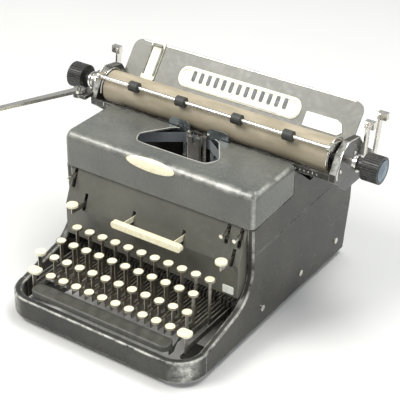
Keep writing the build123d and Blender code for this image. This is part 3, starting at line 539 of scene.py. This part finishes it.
def prism(shape, outline, depth, matrix, material=0):
    """Adds an extruded outline."""
    low = add_ring(shape, outline, matrix)
    high = add_ring(shape, outline, matrix, depth)
    faces = [shape.faces.new(low[::-1]), shape.faces.new(high)]
    for i in range(len(outline)):
        j = (i + 1) % len(outline)
        faces.append(shape.faces.new((low[i], low[j], high[j], high[i])))
    for face in faces:
        face.material_index = material


def stadium(width, height, radius, steps=8):
    """Outline of a rounded rectangle about the origin."""
    points = []
    for quarter, (sx, sy) in enumerate(((1, 1), (-1, 1), (-1, -1), (1, -1))):
        for i in range(steps + 1):
            turn = math.pi / 2 * (quarter + i / steps)
            points.append((
                sx * (width / 2 - radius) + radius * math.cos(turn),
                sy * (height / 2 - radius) + radius * math.sin(turn),
            ))
    return points


def facing_front(x, y, z):
    """Frame on an upright face that looks forward: u to the right, v up."""
    turn = Matrix(((1, 0, 0), (0, 0, -1), (0, 1, 0))).to_4x4()
    return Matrix.Translation(Vector((x, y, z)) * MM) @ turn


# ---------------------------------------------------------------- keytops

CAP_RIM = 0.95


def make_row_caps(row):
    """Metal-rimmed, dished cream caps of one row, in place of the plain CAD discs."""
    low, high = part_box(row + "_keytops")
    outer = (high.y - low.y) / 2
    count = round((high.x - low.x - 2 * outer) / KEY_PITCH) + 1
    thick = (high.z - low.z) / MM
    radius = outer / MM
    rim = radius - CAP_RIM
    metal_rim = (
        (0, 0.05), (radius * 0.86, 0.05), (radius - 0.2, 0.5), (radius - 0.02, 1.3),
        (radius - 0.05, thick - 0.8), (radius - 0.35, thick - 0.25), (rim + 0.1, thick - 0.2),
        (rim, thick - 0.6), (rim, thick - 1.4), (0, thick - 1.4),
    )
    dished_disc = (
        (0, thick - 1.3), (rim - 0.05, thick - 1.3), (rim - 0.05, thick - 0.45),
        (rim - 0.6, thick - 0.1), (rim * 0.6, thick - 0.35), (rim * 0.3, thick - 0.5),
        (0, thick - 0.55),
    )
    shape = bmesh.new()
    for i in range(count):
        center = (low.x + outer + i * KEY_PITCH, (low.y + high.y) / 2, low.z)
        lathe(shape, metal_rim, center, (0, 0, 1), 32, material=0)
        lathe(shape, dished_disc, center, (0, 0, 1), 32, material=1)
    piece = add_piece(row + "_caps", shape, row + "_keys", "keytop", rim_metal, cream_plastic)
    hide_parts(row + "_keytops")


# ---------------------------------------------------------------- paper table trim

TABLE_UP = Vector((0, *TABLE_RISE)).normalized()
TABLE_OUT = Vector((0, -TABLE_RISE[1], TABLE_RISE[0])).normalized()
TABLE_EDGE = 52
ORNAMENT_X = 12
ORNAMENT_UP = 22.5
ORNAMENT_WIDTH = 176
ORNAMENT_HEIGHT = 27
ORNAMENT_SHEET = 1.0
FLUTES = 13
FLUTE_FIRST_X = -54
FLUTE_SPAN = 132


def table_matrix(x, up, lift):
    """Frame on the paper table's front face: x across, up the slope, lift off the face."""
    foot = Vector((x, *TABLE_FOOT)) * MM
    origin = foot + TABLE_UP * (up * MM) + TABLE_OUT * (lift * MM)
    turn = Matrix((Vector((1, 0, 0)), TABLE_UP, TABLE_OUT)).transposed()
    return Matrix.Translation(origin) @ turn.to_4x4()


def make_ornament():
    """Blank ornament of the paper table: a pale panel, its raised border and plain flutes."""
    shape = bmesh.new()
    prism(
        shape, stadium(ORNAMENT_WIDTH, ORNAMENT_HEIGHT, 12), ORNAMENT_SHEET,
        table_matrix(ORNAMENT_X, ORNAMENT_UP, 0.05),
    )
    add_piece("table_ornament_panel", shape, "carriage", "badge", cream_enamel, bevel=0.3)

    shape = bmesh.new()
    outer = stadium(ORNAMENT_WIDTH - 3, ORNAMENT_HEIGHT - 3, 10.5)
    inner = stadium(ORNAMENT_WIDTH - 7, ORNAMENT_HEIGHT - 8.5, 8)
    matrix = table_matrix(ORNAMENT_X, ORNAMENT_UP, ORNAMENT_SHEET)
    rings = [
        add_ring(shape, outline, matrix, lift)
        for outline, lift in ((outer, 0), (outer, 0.9), (inner, 0.9), (inner, 0))
    ]
    for low, high in zip(rings, rings[1:]):
        for i in range(len(outer)):
            j = (i + 1) % len(outer)
            shape.faces.new((low[i], low[j], high[j], high[i]))
    add_piece("table_ornament_border", shape, "carriage", "badge", pale_enamel, bevel=0.2)

    shape = bmesh.new()
    for i in range(FLUTES):
        x = FLUTE_FIRST_X + FLUTE_SPAN * i / (FLUTES - 1)
        prism(shape, stadium(5.2, 14, 2.5, 5), 0.5, table_matrix(x, 25.0, ORNAMENT_SHEET))
    add_piece("table_ornament_flutes", shape, "carriage", "badge", flute_paint, bevel=0.15)


def make_table_trim():
    """Pale plate and band on the paper table, and its rolled upper edge."""
    shape = bmesh.new()
    outline = ((-26, -9), (21, -9), (26.5, -4), (22, 6), (15, 9), (-26, 9))
    prism(shape, outline, 1.1, table_matrix(134, 15.5, 0.1))
    add_piece("table_scale_plate", shape, "carriage", "badge", pale_enamel, bevel=0.4)

    shape = bmesh.new()
    prism(shape, stadium(79, 5, 2.2, 5), 0.6, table_matrix(34, 13.6, 1.9))
    add_piece("table_lower_band", shape, "carriage", "badge", pale_enamel, bevel=0.2)

    edge = [table_matrix(x, TABLE_EDGE, -1.25) @ Vector() for x in range(-143, 164, 9)]
    add_tube("table_rolled_edge", edge, 1.5, "carriage", rolled_edge)


def make_guide_trim():
    """Dark clamping rails and a grip on the sliding paper guide."""
    shape = bmesh.new()
    for x in (-127, -111):
        prism(shape, stadium(2.6, 38, 1.2, 5), 1.4, table_matrix(x, 29, 1.6))
    add_piece("guide_rails", shape, "paper_side_guide", "steel", dark_steel, bevel=0.3)
    shape = bmesh.new()
    prism(shape, stadium(15, 4, 1.8, 5), 2.2, table_matrix(-119, 49.5, 1.6))
    add_piece("guide_grip", shape, "paper_side_guide", "steel", dark_steel, bevel=0.4)


# ---------------------------------------------------------------- platen and carriage trim

GUARD_RADIUS = 22.6


def make_platen_trim():
    """Turned collars, end rings, knob caps whose blue-grey tint is a painted highlight, and paper guards at
    both ends of the platen.
    """
    shaft_low, shaft_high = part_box("platen_shaft")
    y = (shaft_low.y + shaft_high.y) / 2
    z = (shaft_low.z + shaft_high.z) / 2
    roller_low, roller_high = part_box("platen_roller")
    end_ring = (
        (4.3, 0.1), (17.5, 0.1), (18.5, 0.6), (18.5, 1.6), (16.5, 2.2), (13, 1.5), (9, 1.5),
        (8, 2.6), (4.3, 2.6),
    )
    collar = (
        (4.2, 0), (9.5, 0), (10.5, 0.7), (10.5, 3.0), (9.0, 3.8), (9.0, 6.0), (7.0, 7.0),
        (4.2, 7.0),
    )
    for name, roller_end, outward in (("left", roller_low.x, -1), ("right", roller_high.x, 1)):
        axis = (outward, 0, 0)
        shape = bmesh.new()
        lathe(shape, end_ring, (roller_end, y, z), axis, 48)
        add_piece(name + "_platen_ring", shape, "platen", "nickel", bright_nickel)

        knob_low, knob_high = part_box(name + "_platen_knob")
        face, back = (knob_low.x, knob_high.x) if outward < 0 else (knob_high.x, knob_low.x)
        radius = (knob_high.z - knob_low.z) / 2 / MM
        cap = (
            (radius - 3.2, -0.6), (radius - 3.2, 0.5), (radius - 4.2, 1.0), (radius - 5.6, 0.5),
            (radius - 7, 0.7), (3, 1.6), (0, 1.8),
        )
        shape = bmesh.new()
        lathe(shape, cap, (face, y, z), axis)
        # Cap colour is a painted blue-grey highlight
        add_piece(name + "_knob_cap_painted_highlight", shape, "platen", "steel", knob_cap_painted_highlight)

        guard = []
        for degrees in range(5, 186, 12):
            turn = math.radians(degrees)
            guard.append(Vector((
                roller_end + outward * 1.2 * MM,
                y + GUARD_RADIUS * MM * math.cos(turn),
                z + GUARD_RADIUS * MM * math.sin(turn),
            )))
        add_tube(name + "_paper_guard", guard, 0.85, "carriage", bright_nickel)

        shape = bmesh.new()
        lathe(shape, collar, (back, y, z), (-outward, 0, 0))
        add_piece(name + "_shaft_collar", shape, "platen", "nickel", bright_nickel)


def make_screw(shape, center, axis, radius):
    """Fillister head with a dark bar whose colour is painted shade of its slot."""
    axis = Vector(axis).normalized()
    side = axis.orthogonal().normalized()
    head = ((0, -0.3), (radius, -0.3), (radius, 0.7), (radius - 0.3, 1.0), (0, 1.05))
    lathe(shape, head, center, axis, 20)
    turn = Matrix((side, axis.cross(side), axis)).transposed().to_4x4()
    slot_place = Matrix.Translation(Vector(center) + axis * (1.0 * MM)) @ turn
    # Dark bar in place of the slot's recess: painted shade
    prism(shape, stadium(radius * 1.7, 0.7, 0.3, 3), 0.12, slot_place, 1)


def make_end_trim():
    """Bright beading along the front and top of the carriage's end plates, and their screws."""
    edge = ((38, 188.5), (37.2, 195.5), (46, 217), (60, 226.2), (66, 226.9), (88, 223.5), (99, 209.5))
    screw_places = ((46, 196), (80, 206), (112, 184), (112, 170))
    for name, outward in (("left", -1), ("right", 1)):
        x = CARRIAGE_X + outward * CARRIAGE_HALF
        bead = [Vector((x + outward * 0.3, y, z)) * MM for y, z in edge]
        add_tube(name + "_end_beading", bead, 0.9, "carriage", bright_nickel)
        shape = bmesh.new()
        for y, z in screw_places:
            make_screw(shape, Vector((x, y, z)) * MM, (outward, 0, 0), 2.4)
        add_piece(name + "_end_screws", shape, "carriage", "nickel", bright_nickel, dark_steel)


TICKS = 57
TICK_FIRST_X = -146
TICK_STEP = 5.5
TICK_FOOT_Z = 188.6


def make_scale_marks():
    """Plain ticks on the carriage's front strip, longer at every fifth and tenth."""
    shape = bmesh.new()
    for i in range(TICKS):
        if i % 10 == 0:
            tall = 4.4
        elif i % 5 == 0:
            tall = 3.2
        else:
            tall = 2.2
        place = facing_front(
            TICK_FIRST_X + i * TICK_STEP, STRIP_FRONT_Y + 0.05, TICK_FOOT_Z + tall / 2,
        )
        prism(shape, stadium(0.7, tall, 0.1, 1), 0.12, place)
    add_piece("carriage_scale_marks", shape, "carriage", "badge", pale_enamel, smooth=False)


# ---------------------------------------------------------------- body trim

# Right half of the cover's opening, from the middle of its front edge to its back corner
LIP_HALF = ((0, -27.4), (45, -27.3), (51, -24), (57, -12), (56, -6), (38, 20), (33, 28), (26, 30))


def make_body_trim():
    """Blank label on the front plate, and the rolled lip of the cover's opening, its pale colour partly wear
    and partly painted highlight.
    """
    shape = bmesh.new()
    prism(shape, stadium(15, 10.5, 1.5, 5), 0.9, facing_front(112.5, PLATE_FRONT_Y + 0.1, 70))
    add_piece("front_plate_blank_label", shape, "base", "badge", pale_enamel, bevel=0.3)
    left_half = [(-x, y) for x, y in LIP_HALF[:0:-1]]
    lip_z = COVER_TOP_Z - 0.25
    lip = [Vector((x, y, lip_z)) * MM for x, y in (*left_half, *LIP_HALF)]
    # Lip colour: partly wear, partly painted highlight
    add_tube("cover_opening_lip", lip, 0.7, "top_cover", lip_wear_and_highlight, kind="NURBS")


# ---------------------------------------------------------------- the whole scene

make_camera()
make_studio()
paint_cad_nodes()
for key_row in ("front_row", "home_row", "upper_row", "number_row"):
    make_row_caps(key_row)
make_ornament()
make_table_trim()
make_guide_trim()
make_platen_trim()
make_end_trim()
make_scale_marks()
make_body_trim()
